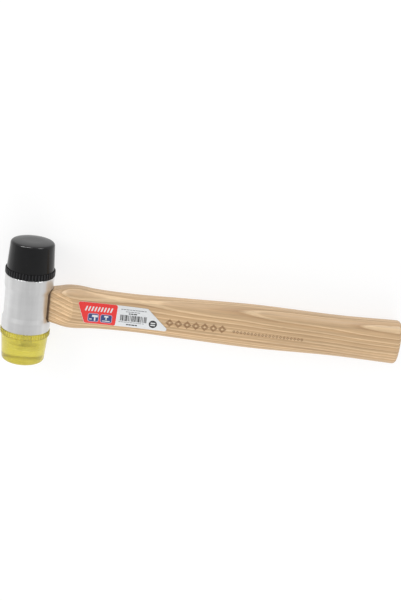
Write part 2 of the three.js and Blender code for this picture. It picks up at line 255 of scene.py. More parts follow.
def dense(outline, low, high, step):
    """The outline with its long runs between two heights split into short steps."""
    made = []
    for i, here in enumerate(outline):
        made.append(here)
        after = outline[(i + 1) % len(outline)]
        rise = abs(after[1] - here[1])
        inside = low - 1e-6 <= min(here[1], after[1]) and max(here[1], after[1]) <= high + 1e-6
        if inside and rise > step:
            count = int(rise / step) + 1
            made += [here + (after - here) * k / count for k in range(1, count)]
    return made


def turn(name, outline, material, segments=96, seat=0.0, facing=1, carve=None, sharp=35):
    """A body turned about the head's axis. Heights count from the seat, along +Y if facing is 1 and along
    -Y if it is -1. Points on the axis close it. carve gives the depth to take off at a radius, height and
    angle."""
    angles = np.arange(segments) * 2 * math.pi / segments
    points = []
    rows = []
    for radius, height in outline:
        y = seat + facing * height
        if radius < 1e-9:
            rows.append([len(points)] * segments)
            points.append((HEAD_X, y, HEAD_Z))
            continue
        depth = carve(radius, height, angles) if carve else np.zeros(segments)
        rows.append(range(len(points), len(points) + segments))
        for angle, r in zip(angles, radius - depth):
            points.append((HEAD_X + r * math.sin(angle), y, HEAD_Z + r * math.cos(angle)))
    faces = []
    on_axis = [row[0] == row[1] for row in rows]
    for k, row in enumerate(rows):
        after = (k + 1) % len(rows)
        if on_axis[k] and on_axis[after]:
            continue
        for i in range(segments):
            j = (i + 1) % segments
            corners = [row[i], row[j], rows[after][j], rows[after][i]]
            faces.append(list(dict.fromkeys(corners)))
    return add_mesh(name, points, faces, material, sharp)


def smoothstep(low, high, value):
    """0 below low, 1 above high, and a soft rise between them."""
    t = np.clip((value - low) / (high - low), 0, 1)
    return t * t * (3 - 2 * t)


# ---- materials ----------------------------------------------------------------------------


class Look:
    """A node material around one Principled shader, with short names for the nodes it uses."""

    def __init__(self, name, **fixed):
        self.material = bpy.data.materials.new(name)
        self.material.use_nodes = True
        self.tree = self.material.node_tree
        self.shader = self.tree.nodes["Principled BSDF"]
        self.set(self.shader, fixed)

    def set(self, node, inputs):
        """Links or sets inputs, named with _ for a space or numbered."""
        for key, value in inputs.items():
            socket = node.inputs[key if isinstance(key, int) else key.replace("_", " ")]
            if isinstance(value, bpy.types.NodeSocket):
                self.tree.links.new(value, socket)
            else:
                socket.default_value = value

    def node(self, kind, inputs=None, out=0, **properties):
        """One output of a new shader node."""
        made = self.tree.nodes.new("ShaderNode" + kind)
        for key, value in properties.items():
            setattr(made, key, value)
        self.set(made, inputs or {})
        return made.outputs[out]

    def math(self, operation, a, b=0.0, c=0.0):
        return self.node("Math", {0: a, 1: b, 2: c}, operation=operation)

    def place(self, to_local=None, scale=(1, 1, 1)):
        """Object coordinates, moved into a local frame in millimetres if one is given, then scaled."""
        spot = self.node("TexCoord", out=3)
        if to_local is not None:
            shift, turned, _ = to_local.decompose()
            spot = self.node("Mapping", {"Vector": spot, "Location": shift / MM,
                                         "Rotation": turned.to_euler(), "Scale": (1 / MM,) * 3})
        return self.scaled(spot, scale)

    def scaled(self, vector, scale):
        return self.node("Mapping", {"Vector": vector, "Scale": scale})

    def split(self, vector):
        """The X, Y and Z of a vector."""
        return tuple(self.node("SeparateXYZ", {"Vector": vector}).node.outputs)

    def distance(self, x, y):
        """How far a point is from the origin of a plane."""
        flat = self.node("CombineXYZ", {"X": x, "Y": y})
        return self.node("VectorMath", {0: flat}, out=1, operation="LENGTH")

    def noise(self, vector, scale=1.0, detail=3.0, rough=0.5):
        return self.node("TexNoise", {"Vector": vector, "Scale": scale, "Detail": detail, "Roughness": rough})

    def ramp(self, factor, *stops, smooth=False):
        """Colours or greys at places along a factor."""
        made = self.tree.nodes.new("ShaderNodeValToRGB")
        ramp = made.color_ramp
        ramp.interpolation = "EASE" if smooth else "LINEAR"
        while len(ramp.elements) < len(stops):
            ramp.elements.new(0.5)
        for element, (where, colour) in zip(ramp.elements, stops):
            element.position = where
            grey = isinstance(colour, (int, float))
            element.color = (colour, colour, colour, 1) if grey else (*colour, 1)
        self.tree.links.new(factor, made.inputs[0])
        return made.outputs[0]

    def mix(self, factor, a, b, kind="MIX"):
        """Colours a and b mixed or, by another kind, blended."""
        made = self.tree.nodes.new("ShaderNodeMix")
        made.data_type = "RGBA"
        made.blend_type = kind
        for index, value in ((0, factor), (6, a), (7, b)):
            if isinstance(value, bpy.types.NodeSocket):
                self.tree.links.new(value, made.inputs[index])
            else:
                made.inputs[index].default_value = value if index == 0 else (*value, 1)
        return made.outputs[2]

    def bump(self, height, strength, distance):
        normal = self.node("Bump", {"Height": height, "Strength": strength, "Distance": distance})
        self.set(self.shader, {"Normal": normal})


def srgb(red, green, blue):
    """A display colour from 0 to 255 as linear light."""
    return tuple(((c / 255 + 0.055) / 1.055) ** 2.4 if c > 10 else c / 255 / 12.92
                 for c in (red, green, blue))


def brushed_metal(name, colour, roughness, lines=1.0):
    """Turned metal: fine lines round the head's axis, faint lengthwise streaks and a varied gloss."""
    look = Look(name, Metallic=1.0, Anisotropic=0.7, Anisotropic_Rotation=0.25)
    look.set(look.shader, {"Tangent": look.node("Tangent", direction_type="RADIAL", axis="Y")})
    fine = look.noise(look.place(scale=(60, 9000, 60)), 1.0, 2.0)
    broad = look.noise(look.place(scale=(40, 260, 40)), 1.0, 3.0)
    blotch = look.noise(look.place(), 90.0, 4.0)
    drawn = look.noise(look.place(scale=(330, 9, 330)), 1.0, 3.0)
    tone = look.math("MULTIPLY_ADD", broad, 0.12, 0.78)
    tone = look.math("MULTIPLY_ADD", blotch, 0.12, tone)
    tone = look.math("MULTIPLY_ADD", drawn, 0.22, tone)
    base = look.mix(1.0, colour, tone, "MULTIPLY")
    rough = look.math("MULTIPLY_ADD", fine, 0.12 * lines, roughness - 0.06)
    rough = look.math("MULTIPLY_ADD", blotch, 0.10, rough)
    look.set(look.shader, {"Base_Color": base, "Roughness": rough})
    look.bump(fine, 0.35 * lines, 0.00002)
    return look.material


def rubber():
    """Black moulded rubber: faint mottling, a fine skin and a painted highlight on the crests of the rim's teeth.
    """
    look = Look("black_rubber", IOR=1.37)
    mottle = look.noise(look.place(), 220.0, 4.0)
    skin = look.noise(look.place(), 2600.0, 3.0)
    base = look.ramp(mottle, (0.3, srgb(7, 7, 8)), (0.75, srgb(13, 13, 15)))
    rough = look.math("MULTIPLY_ADD", mottle, 0.12, 0.12)
    # painted highlight: the crests of the rim's teeth are painted a lighter grey, where light would catch them
    x, _, z = look.split(look.place())
    from_axis = look.distance(look.math("SUBTRACT", x, HEAD_X), look.math("SUBTRACT", z, HEAD_Z))
    outness = look.math("DIVIDE", from_axis, RIM_RADIUS)
    crest_highlight = look.ramp(outness, (1 - 0.5 * MM / RIM_RADIUS, 0.0), (1 - 0.1 * MM / RIM_RADIUS, 1.0))
    base = look.mix(crest_highlight, base, srgb(38, 38, 40))
    look.set(look.shader, {"Base_Color": base, "Roughness": rough})
    look.bump(skin, 0.12, 0.00005)
    return look.material


def clear_yellow():
    """Clear yellow cast plastic with a slight haze and faint flow lines."""
    look = Look("yellow_plastic", IOR=1.47, Transmission_Weight=0.76)
    flow = look.noise(look.place(scale=(1, 5, 1)), 60.0, 3.0)
    skin = look.noise(look.place(), 900.0, 2.0)
    base = look.ramp(flow, (0.3, srgb(226, 212, 84)), (0.7, srgb(234, 222, 97)))
    rough = look.math("MULTIPLY_ADD", flow, 0.12, 0.12)
    look.set(look.shader, {"Base_Color": base, "Roughness": rough})
    look.bump(skin, 0.05, 0.00004)
    return look.material


def hickory(name, light, middle, dark, marked):
    """Straight-grained hickory cut through its growth rings, with pores, fibres and burnt-in marks."""
    look = Look(name, Coat_Weight=0.2, Coat_Roughness=0.3)
    spot = look.place(TO_HANDLE)
    x, y, z = look.split(spot)
    drift = look.scaled(spot, (0.009, 0.0, 0.0))
    wander = look.node("TexNoise", {"Vector": drift, "Scale": 1.0, "Detail": 1.0}, out=1)
    sway_up, sway_out, _ = look.split(wander)
    # growth rings lie round a pith far off the handle's top front edge, a little askew to the handle
    rise = look.math("MULTIPLY_ADD", x, -0.03, 46.0)
    rise = look.math("MULTIPLY_ADD", sway_up, 7.0, rise)
    reach = look.math("MULTIPLY_ADD", sway_out, 6.0, 42.0)
    distance = look.distance(look.math("SUBTRACT", rise, y), look.math("SUBTRACT", reach, z))
    spread = look.noise(look.node("CombineXYZ", {"X": distance}), 0.3, 2.0)
    phase = look.math("MULTIPLY_ADD", spread, 1.6, look.math("DIVIDE", distance, 2.3))
    ring = look.math("FRACT", phase)
    wood = look.ramp(ring, (0.0, middle), (0.08, light), (0.24, light), (0.36, dark), (0.65, middle),
                     (1.0, middle))
    # streaks and fibres along the grain
    streak = look.noise(look.scaled(spot, (0.008, 0.36, 0.36)), 1.0, 3.0, 0.62)
    wood = look.mix(1.0, wood, look.ramp(streak, (0.33, 0.84), (0.5, 1.0), (0.67, 1.12)), "MULTIPLY")
    fibre = look.noise(look.scaled(spot, (0.03, 1.5, 1.5)), 1.0, 4.0, 0.6)
    wood = look.mix(1.0, wood, look.ramp(fibre, (0.3, 0.86), (0.7, 1.08)), "MULTIPLY")
    pores = look.noise(look.scaled(spot, (0.12, 3.6, 3.6)), 1.0, 2.0)
    early = look.ramp(ring, (0.1, 0.1), (0.2, 1.0), (0.5, 0.25), (1.0, 0.0))
    pores = look.math("MULTIPLY", look.ramp(pores, (0.54, 0.0), (0.64, 1.0)), early)
    wood = look.mix(look.math("MULTIPLY", pores, 0.4), wood, tuple(c * 0.5 for c in dark))
    depth = look.math("MULTIPLY", pores, -1.0)
    if marked:
        wood, depth = burns_and_painted_light(look, wood, depth, spot)
    rough = look.math("MULTIPLY_ADD", fibre, 0.22, 0.42)
    look.set(look.shader, {"Base_Color": wood, "Roughness": rough})
    look.bump(look.math("MULTIPLY_ADD", fibre, 0.8, depth), 0.35, 0.00012)
    return look.material


def burns_and_painted_light(look, wood, depth, spot):
    """Painted light on the cheeks, burnt marks and painted shade at the shoulder, over the plain wood's colour and
    depth.
    """
    x, y, z = look.split(spot)
    # painted light: the two sawn cheeks are painted paler than the grip, as if lit more brightly
    slope = (section_at(CHEEK_END)[1] - NECK_THICKNESS) / (CHEEK_END - BARREL_RADIUS)
    plane = look.math("MULTIPLY_ADD", x, slope, (NECK_THICKNESS - slope * BARREL_RADIUS) / MM)
    off = look.math("ABSOLUTE", look.math("SUBTRACT", look.math("ABSOLUTE", z), plane))
    near_head = look.math("LESS_THAN", x, CHEEK_END / MM)
    cheek = look.math("MULTIPLY", look.math("LESS_THAN", off, 0.12), near_head)
    wood = look.mix(1.0, wood, look.math("MULTIPLY_ADD", cheek, 0.15, 1.0), "MULTIPLY")
    burn = burnt_marks(look, x, y, z)
    scorch = look.noise(look.scaled(spot, (0.9, 1.6, 1.6)), 1.0, 3.0)
    strength = look.math("MULTIPLY", burn, look.math("MULTIPLY_ADD", scorch, 0.7, 0.3))
    wood = look.mix(strength, wood, srgb(122, 82, 42))
    depth = look.math("MULTIPLY_ADD", burn, -2.0, depth)
    # painted shade darkens the wood where it meets the head
    ahead = look.math("SUBTRACT", look.distance(x, z), BARREL_RADIUS / MM)
    edge = look.math("MULTIPLY_ADD", scorch, 0.8, ahead)
    shoulder_shade = look.ramp(look.math("DIVIDE", edge, 2.0), (0.35, 0.95), (0.9, 0.0))
    return look.mix(shoulder_shade, wood, srgb(74, 50, 32)), depth


# Rows of burnt marks, in millimetres: start, end, height at the start, slope, pitch, size of a mark.
BURNT_ROWS = (
    (100.0, 145.0, -0.9, -0.004, 6.4, 2.9),
    (149.0, 202.0, -1.9, -0.012, 2.65, 1.15),
)


def burnt_marks(look, x, y, z):
    """A row of plain lozenges and a finer row of them, burnt into the labelled side."""
    masks = []
    for start, end, centre, slope, pitch, size in BURNT_ROWS:
        along = look.math("SUBTRACT", x, start)
        cell = look.math("SUBTRACT", look.math("FRACT", look.math("DIVIDE", along, pitch)), 0.5)
        across = look.math("ABSOLUTE", look.math("MULTIPLY", cell, pitch))
        middle = look.math("MULTIPLY_ADD", x, slope, centre - slope * start)
        height = look.math("ABSOLUTE", look.math("SUBTRACT", y, middle))
        outer = look.math("ADD", height, across)
        ring = look.math("ABSOLUTE", look.math("SUBTRACT", outer, size * 0.72))
        shape = look.ramp(look.math("DIVIDE", ring, size), (0.3, 1.0), (0.42, 0.0))
        inside = look.math("MULTIPLY", look.math("GREATER_THAN", x, start), look.math("LESS_THAN", x, end))
        masks.append(look.math("MULTIPLY", shape, inside))
    labelled_side = look.math("GREATER_THAN", z, 5.0)
    return look.math("MULTIPLY", look.math("MAXIMUM", *masks), labelled_side)


def printed(name, colour, gloss=0.38):
    """Printed film: an even ink with slight mottling and a soft sheen."""
    look = Look(name, Coat_Weight=0.25, Coat_Roughness=0.2)
    mottle = look.noise(look.place(), 700.0, 3.0)
    base = look.ramp(mottle, (0.3, tuple(c * 0.93 for c in colour)), (0.7, colour))
    rough = look.math("MULTIPLY_ADD", mottle, 0.14, gloss)
    look.set(look.shader, {"Base_Color": base, "Roughness": rough})
    look.bump(look.noise(look.place(), 160.0, 2.0), 0.08, 0.0001)
    return look.material


METAL = brushed_metal("barrel_metal", srgb(214, 214, 214), 0.30)
INNER_METAL = brushed_metal("inner_metal", srgb(188, 190, 193), 0.42)
SCREW_STEEL = brushed_metal("screw_steel", srgb(250, 250, 253), 0.42, 0.5)
PIN_STEEL = brushed_metal("pin_steel", srgb(150, 151, 154), 0.4)
SHOT_STEEL = brushed_metal("shot_steel", srgb(140, 142, 146), 0.3, 0.3)
RUBBER = rubber()
YELLOW = clear_yellow()
WOOD = hickory("hickory", srgb(226, 194, 152), srgb(204, 170, 129), srgb(187, 149, 107), True)
WEDGE_WOOD = hickory("wedge_wood", srgb(196, 158, 116), srgb(178, 138, 98), srgb(150, 110, 74), False)
INK_RED = printed("label_red", srgb(234, 50, 46))
INK_WHITE = printed("label_white", srgb(228, 230, 231))
INK_PALE = printed("label_pale", srgb(186, 168, 196))
INK_BLUE = printed("label_blue", srgb(48, 70, 122))
INK_BLACK = printed("label_black", srgb(34, 34, 36))
INK_GREY = printed("label_grey", srgb(122, 124, 128))

# ---- barrel, plugs and pin -----------------------------------------------------------------


def rounded_bar(name, height, thickness, corner, from_x, to_x):
    """A cutter along the handle's X with rounded corners, in the handle's frame."""
    section = []
    for quarter, (sy, sz) in enumerate(((1, 1), (-1, 1), (-1, -1), (1, -1))):
        for k in range(7):
            angle = math.pi / 2 * (quarter + k / 6)
            section.append((sy * (height - corner) + corner * math.cos(angle),
                            sz * (thickness - corner) + corner * math.sin(angle)))
    count = len(section)
    points = [HANDLE_FRAME @ Vector((x, y, z)) for x in (from_x, to_x) for y, z in section]
    faces = [(i, (i + 1) % count, count + (i + 1) % count, count + i) for i in range(count)]
    faces += [tuple(range(count)), tuple(range(count, 2 * count))]
    return add_mesh(name, points, faces, METAL)


def make_barrel():
    """The metal shell, with the eye for the handle, the eye's wider mouth and the pin's hole."""
    fillet = 0.35 * MM
    end_fillet = 0.5 * MM
    step_fillet = 3.0 * MM
    outline = rounded([
        (BORE_RADIUS, BARREL_LOW, fillet),
        (BAND_RADIUS, BARREL_LOW, end_fillet),
        (BAND_RADIUS, BAND_EDGE_LOW, step_fillet),
        (BARREL_RADIUS, BAND_EDGE_LOW + BAND_TAPER, step_fillet),
        (BARREL_RADIUS, BAND_EDGE_HIGH - BAND_TAPER, step_fillet),
        (BAND_RADIUS, BAND_EDGE_HIGH, step_fillet),
        (BAND_RADIUS, BARREL_HIGH, end_fillet),
        (BORE_RADIUS, BARREL_HIGH, fillet),
    ])
    barrel = turn("barrel_shell", outline, METAL, 192)
    outside = 2 * BAND_RADIUS
    mouth_start = BORE_RADIUS - 0.6 * MM
    eye = rounded_bar("eye", NECK_HEIGHT + GAP, NECK_THICKNESS + GAP, EYE_CORNER, 0, outside)
    mouth = rounded_bar("mouth", NECK_HEIGHT + MOUTH, NECK_THICKNESS + MOUTH, EYE_CORNER + MOUTH,
                        mouth_start, outside)
    return place(cut(barrel, eye, mouth, pin_hole()), "head", "barrel_metal", "head_barrel")


def pin_hole():
    """A cutter for the pin's hole, from the back of the barrel into the neck."""
    length = 2 * BAND_RADIUS
    middle = Matrix.Translation((PIN_X, 0, PIN_FRONT + GAP - length / 2))
    return round_bar("pin_hole", PIN_RADIUS + 0.1 * MM, length, 48, HANDLE_FRAME @ middle)


def make_pin():
    """A rolled spring pin: a slit tube with its ends drawn in."""
    inner = PIN_RADIUS - 0.45 * MM
    chamfer = 0.25 * MM
    drawn_in = PIN_RADIUS - chamfer
    slit = 0.25
    steps = 40
    angles = [slit + (2 * math.pi - 2 * slit) * k / steps for k in range(steps + 1)]
    rows = []
    for height, radius in (
        (PIN_BACK, inner), (PIN_BACK, drawn_in), (PIN_BACK + chamfer, PIN_RADIUS),
        (PIN_FRONT - chamfer, PIN_RADIUS), (PIN_FRONT, drawn_in), (PIN_FRONT, inner),
    ):
        rows.append([(PIN_X + radius * math.cos(a), radius * math.sin(a), height) for a in angles])
    points = [HANDLE_FRAME @ Vector(spot) for row in rows for spot in row]
    across = steps + 1
    faces = []
    for r in range(len(rows)):
        after = (r + 1) % len(rows)
        for k in range(steps):
            faces.append((r * across + k, r * across + k + 1, after * across + k + 1, after * across + k))
    for k in (0, steps):
        faces.append([r * across + k for r in range(len(rows))])
    pin = add_mesh("spring_pin", points, faces, PIN_STEEL)
    return place(pin, "head", "pin_steel", "handle_pin")


def ring_outline(node, wall, chamfer):
    """A flat ring as high as a node, with a clearance hole for the screw."""
    low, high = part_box(node)
    hole = SCREW_RADIUS + GAP
    corners = ((hole, low.y), (wall, low.y), (wall, high.y), (hole, high.y))
    return rounded([(*corner, chamfer) for corner in corners], 2)


def make_plug(node):
    """A threaded disc in one end of the bore, with two holes for a pin spanner."""
    plug = turn(node + "_disc", ring_outline(node, half_size(node, 0), 0.4 * MM), INNER_METAL, 128)
    low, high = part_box(node)
    centre_y = (low.y + high.y) / 2
    along_head = Matrix.Rotation(math.pi / 2, 4, "X")
    holes = []
    for side in (-1, 1):
        middle = Matrix.Translation((HEAD_X + side * SPANNER_HOLE_OFFSET, centre_y, HEAD_Z))
        holes.append(round_bar("hole", SPANNER_HOLE_RADIUS, 20 * MM, 32, middle @ along_head))
    return place(cut(plug, *holes), "head", "inner_metal", node)


# ---- faces --------------------------------------------------------------------------------


def knurl(rim_height, depth):
    """Teeth round a rim: grooves that open at its back and close under its lip."""

    def carve(radius, height, angles):
        if radius < RIM_RADIUS - TOOTH_WALL or height > rim_height:
            return np.zeros(len(angles))
        tooth = np.abs((angles * TEETH / (2 * math.pi)) % 1 - 0.5) * 2
        groove = smoothstep(0.35, 0.75, tooth)
        lip = smoothstep(rim_height - 0.5 * MM, rim_height - 0.1 * MM, height)
        return depth * groove * float(1 - lip)

    return carve


def thread(low, high, facing):
    """A right-hand thread between two heights, running out at both ends."""

    def carve(radius, height, angles):
        if abs(radius - SCREW_RADIUS) > 0.01 * MM:
            return np.zeros(len(angles))
        turns = height / PITCH - facing * angles / (2 * math.pi)
        crest = np.abs(turns % 1 - 0.5) * 2
        ends = smoothstep(low, low + 0.6 * MM, height) * (1 - smoothstep(high - 0.8 * MM, high, height))
        return THREAD_DEPTH * smoothstep(0.08, 0.92, crest) * float(ends)

    return carve


def crown_points(end_radius, edge, top):
    """The slight crown of a striking face, from its rounded edge in to its flat middle."""
    crown_width = end_radius - FACE_FLAT_RADIUS
    return [(radius, top - FACE_CROWN * ((radius - FACE_FLAT_RADIUS) / crown_width) ** 2, 0)
            for radius in np.linspace(end_radius - edge - 1.0 * MM, FACE_FLAT_RADIUS, 9)]


def make_face(name, seat, facing, length, rim_height, end_radius, edge, tooth, material, slot, wetted):
    """A face on its seat: hollow for the screw, washer recess, toothed rim, groove and tapered body.
    wetted is true where the plastic is cast tight on its screw, and false where a gap shows it apart."""
    clear = -0.06 * MM if wetted else GAP
    hole = SCREW_RADIUS - THREAD_DEPTH + clear if wetted else SCREW_RADIUS + GAP
    flange = FLANGE_RADIUS + clear
    flange_low = FLANGE_DEPTH - clear
    flange_high = FLANGE_DEPTH + FLANGE_THICKNESS + clear
    recess = WASHER_RADIUS + GAP
    recess_depth = 1.6 * MM
    neck = 17.0 * MM
    top = length - 0.05 * MM
    outline = rounded([
        (0, flange_high, 0),
        (flange, flange_high, 0.3 * MM),
        (flange, flange_low, 0.3 * MM),
        (hole, flange_low, 0.1 * MM),
        (hole, recess_depth, 0.1 * MM),
        (recess, recess_depth, 0.2 * MM),
        (recess, 0, 0.25 * MM),
        (RIM_RADIUS - 0.1 * MM, 0, 0.35 * MM),
        (RIM_RADIUS, 1.2 * MM, 0.5 * MM),
        (RIM_RADIUS, rim_height - 0.7 * MM, 0.5 * MM),
        (RIM_RADIUS - 0.32 * MM, rim_height, 0.12 * MM),
        (neck, rim_height - 1.2 * MM, 0.15 * MM),
        (neck - 0.15 * MM, rim_height + 0.7 * MM, 0.4 * MM),
        (end_radius, top - FACE_CROWN, edge),
        *crown_points(end_radius, edge, top),
        (0, top, 0),
    ], 8)
    outline = dense(outline, 0.0, rim_height, 0.5 * MM)
    carve = knurl(rim_height, tooth)
    face = turn(name + "_cap", outline, material, TEETH * 8, seat, facing, carve, 40)
    return place(face, name + "_tip", slot, name + "_face")


def make_screw(name, seat, facing):
    """The screw cast into a face: flange inside, threaded shank out of its back."""
    chamfer_end = -SCREW_TIP + SCREW_CHAMFER
    flange_end = FLANGE_DEPTH + FLANGE_THICKNESS
    outline = rounded([
        (0, -SCREW_TIP, 0),
        (SCREW_RADIUS - SCREW_CHAMFER, -SCREW_TIP, 0.1 * MM),
        (SCREW_RADIUS, chamfer_end, 0.05 * MM),
        (SCREW_RADIUS, FLANGE_DEPTH, 0.3 * MM),
        (FLANGE_RADIUS, FLANGE_DEPTH, 0.5 * MM),
        (FLANGE_RADIUS, flange_end, 0.5 * MM),
        (0, flange_end, 0),
    ])
    outline = dense(outline, chamfer_end - 0.1 * MM, FLANGE_DEPTH, PITCH / 10)
    carve = thread(chamfer_end, FLANGE_DEPTH, facing)
    screw = turn(name + "_screw", outline, SCREW_STEEL, 72, seat, facing, carve)
    return place(screw, name + "_tip", "screw_steel", name + "_face_screw")


def make_washer(name):
    """The flat washer that stays against a face's back."""
    node = name + "_face_washer"
    washer = turn(name + "_washer_ring", ring_outline(node, WASHER_RADIUS, 0.2 * MM), SCREW_STEEL, 96)
    return place(washer, name + "_washer", "screw_steel", node)


# ---- handle -------------------------------------------------------------------------------


def cheek_at(x):
    """Half thickness left by the two flat cheeks near the head."""
    top = section_at(CHEEK_END)[1]
    slope = (top - NECK_THICKNESS) / (CHEEK_END - BARREL_RADIUS)
    return NECK_THICKNESS + slope * (x - BARREL_RADIUS)


def squircle(height, thickness, squareness, angle):
    """A point at one angle of a rounded outline that is squarer as squareness grows."""
    c = math.cos(angle)
    s = math.sin(angle)
    y = height * math.copysign(abs(c) ** (2 / squareness), c)
    z = thickness * math.copysign(abs(s) ** (2 / squareness), s)
    return y, z


def section_point(x, angle, inset=0.0):
    """A point of the handle's outline at one angle, flattened where a cheek cuts it."""
    height, thickness, squareness = section_at(x)
    y, z = squircle(height - inset, thickness - inset, squareness, angle)
    cheek = cheek_at(x)
    if x < CHEEK_END and abs(z) > cheek:
        z = math.copysign(cheek, z)
    return y, z


def surface_z(x, y):
    """Height of the labelled face over a point in the handle's frame."""
    height, thickness, squareness = section_at(x)
    return thickness * (1 - abs(y / height) ** squareness) ** (1 / squareness)


def cope(y, z):
    """Where the shoulder meets the barrel or its bands, at that height and depth."""
    beside_band = y < -NECK_HEIGHT - 0.1 * MM or y > NECK_HEIGHT + 0.6 * MM
    wall = BAND_RADIUS if beside_band else BARREL_RADIUS
    return math.sqrt((wall + GAP) ** 2 - z * z)


def tenon_ring(angles, x=None, shrink=0.0):
    """Points round the tenon at a place along X, or where it meets the barrel if none is given."""
    ring = []
    for angle in angles:
        y, z = squircle(NECK_HEIGHT - shrink, NECK_THICKNESS - shrink, TENON_SQUARENESS, angle)
        ring.append((cope(0, z) if x is None else x, y, z))
    return ring


def shoulder_ring(angles):
    """Points round the handle where it butts on the barrel and its bands."""
    ring = []
    for angle in angles:
        x = cope(*section_point(BARREL_RADIUS, angle))
        ring.append((x, *section_point(x, angle)))
    return ring


def make_handle():
    """The tenon, the coped shoulder, the grip and the rounded butt as one run of rings."""
    sides = 144
    angles = [2 * math.pi * (i + 0.5) / sides for i in range(sides)]
    rings = [tenon_ring(angles, TENON_END, 0.35 * MM)]
    rings += [tenon_ring(angles, x) for x in (TENON_END + 0.4 * MM, -8 * MM, 0, 10 * MM, None)]
    rings.append(shoulder_ring(angles))
    body_start = BAND_RADIUS + GAP + 0.4 * MM
    body_end = HANDLE_END - BUTT_ROUND
    for x in np.concatenate([np.linspace(body_start, CHEEK_END + 2 * MM, 30),
                             np.linspace(CHEEK_END + 4 * MM, body_end, 110)]):
        rings.append([(x, *section_point(x, angle)) for angle in angles])
    butt_steps = 8
    for k in range(1, butt_steps + 1):
        turned = math.pi / 2 * k / butt_steps
        x = body_end + BUTT_ROUND * math.sin(turned)
        inset = BUTT_ROUND * (1 - math.cos(turned))
        rings.append([(x, *section_point(x, angle, inset)) for angle in angles])
    points = [HANDLE_FRAME @ Vector(spot) for ring in rings for spot in ring]
    faces = []
    for r in range(len(rings) - 1):
        for i in range(sides):
            j = (i + 1) % sides
            faces.append((r * sides + i, r * sides + j, (r + 1) * sides + j, (r + 1) * sides + i))
    for first, x in ((0, TENON_END), ((len(rings) - 1) * sides, HANDLE_END)):
        points.append(HANDLE_FRAME @ Vector((x, 0, 0)))
        faces += [(first + i, first + (i + 1) % sides, len(points) - 1) for i in range(sides)]
    handle = add_mesh("handle_wood", points, faces, WOOD, 28)
    return place(cut(handle, make_kerf(), pin_hole()), "head", "hickory", "handle")


def tapered_block(name, start, end, width, thick, thin):
    """A block along the handle's X, thick at its start and thin at its end. Widths are half widths."""
    points = []
    for x, across in ((start, thick), (end, thin)):
        for u, v in ((1, 1), (-1, 1), (-1, -1), (1, -1)):
            points.append(HANDLE_FRAME @ Vector((x, u * width, v * across)))
    faces = [(0, 1, 2, 3), (4, 5, 6, 7)] + [(i, (i + 1) % 4, 4 + (i + 1) % 4, 4 + i) for i in range(4)]
    return add_mesh(name, points, faces, WEDGE_WOOD)


def make_kerf():
    """A cutter for the wedge's slot, open at the tenon's end and past both its sides."""
    clear = 0.12 * MM
    return tapered_block("kerf", TENON_END - 2 * MM, TENON_END + WEDGE_LENGTH + clear,
                         NECK_HEIGHT - GAP + 3 * MM, WEDGE_THICK + clear, WEDGE_THIN + clear)


def make_wedge():
    """The hidden wedge in the tenon's end."""
    wedge = tapered_block("foxtail_wedge", TENON_END, TENON_END + WEDGE_LENGTH,
                          NECK_HEIGHT - GAP, WEDGE_THICK, WEDGE_THIN)
    edit = bmesh.new()
    edit.from_mesh(wedge.data)
    bmesh.ops.bevel(edit, geom=edit.edges[:], offset=0.15 * MM, segments=2, affect="EDGES",
                    clamp_overlap=True)
    shade(end_edit(edit, wedge.data), 35)
    return place(wedge, "head", "wedge_wood", "tenon_wedge")


# ---- sticker ------------------------------------------------------------------------------

# Places on the sticker are in millimetres in the handle's frame.
LABEL_CORNERS = ((36.0, 8.3), (41.9, -7.9), (104.2, -8.0), (86.7, 7.7))
RED_CORNERS = ((36.2, 8.15), (42.1, -7.75), (64.2, -7.85), (64.9, 7.95))
TILES = ((44.6, -5.9, 51.7, -0.1), (53.6, -5.9, 61.3, -0.2))
TILE_BORDER = 0.4
STROKES = 9
STROKE_START = 41.6
STROKE_PITCH = 2.25
STROKE_LEAN = 1.15
STROKE_LOW = 1.9
STROKE_HIGH = 5.4
# Lines of small print: start, end, height, thickness.
GREY_RULES = ((67.5, 86.0, 5.5, 0.5), (71.0, 82.5, 4.0, 0.5), (66.5, 86.0, -4.0, 0.4))
BLACK_RULES = ((73.2, 80.0, 2.6, 0.8), (72.2, 81.5, -5.9, 0.9))
BARS_START = 67.4
BARS_END = 86.3
BARS_LOW = -3.1
BARS_HIGH = 1.5
BAR_WIDTHS = (0.5, 0.3, 0.8, 0.3, 0.4, 0.9, 0.3, 0.5, 0.4, 0.6)
# A dot's middle and radius, and the two marks in it.
DOT = (91.3, -3.4, 2.95)
DOT_MARKS = ((89.6, -3.0, 93.0, -2.1), (89.6, -4.7, 93.0, -3.8))
# Small mallets on the tiles: middle and size, and the plain lines under them.
ICONS = ((49.3, -3.0, 5.0), (57.4, -2.3, 3.6))
ICON_LINES = ((45.4, -4.6, 47.2, -3.9), (54.6, -5.2, 60.2, -4.6))
FILM = 0.10 * MM
INK = 0.02 * MM
LABEL_LIFT = 0.32 * MM


def round_corners(corners, radius, steps=5):
    """A flat outline in millimetres with its corners rounded."""
    return [tuple(spot) for spot in rounded([(x, y, radius) for x, y in corners], steps)]


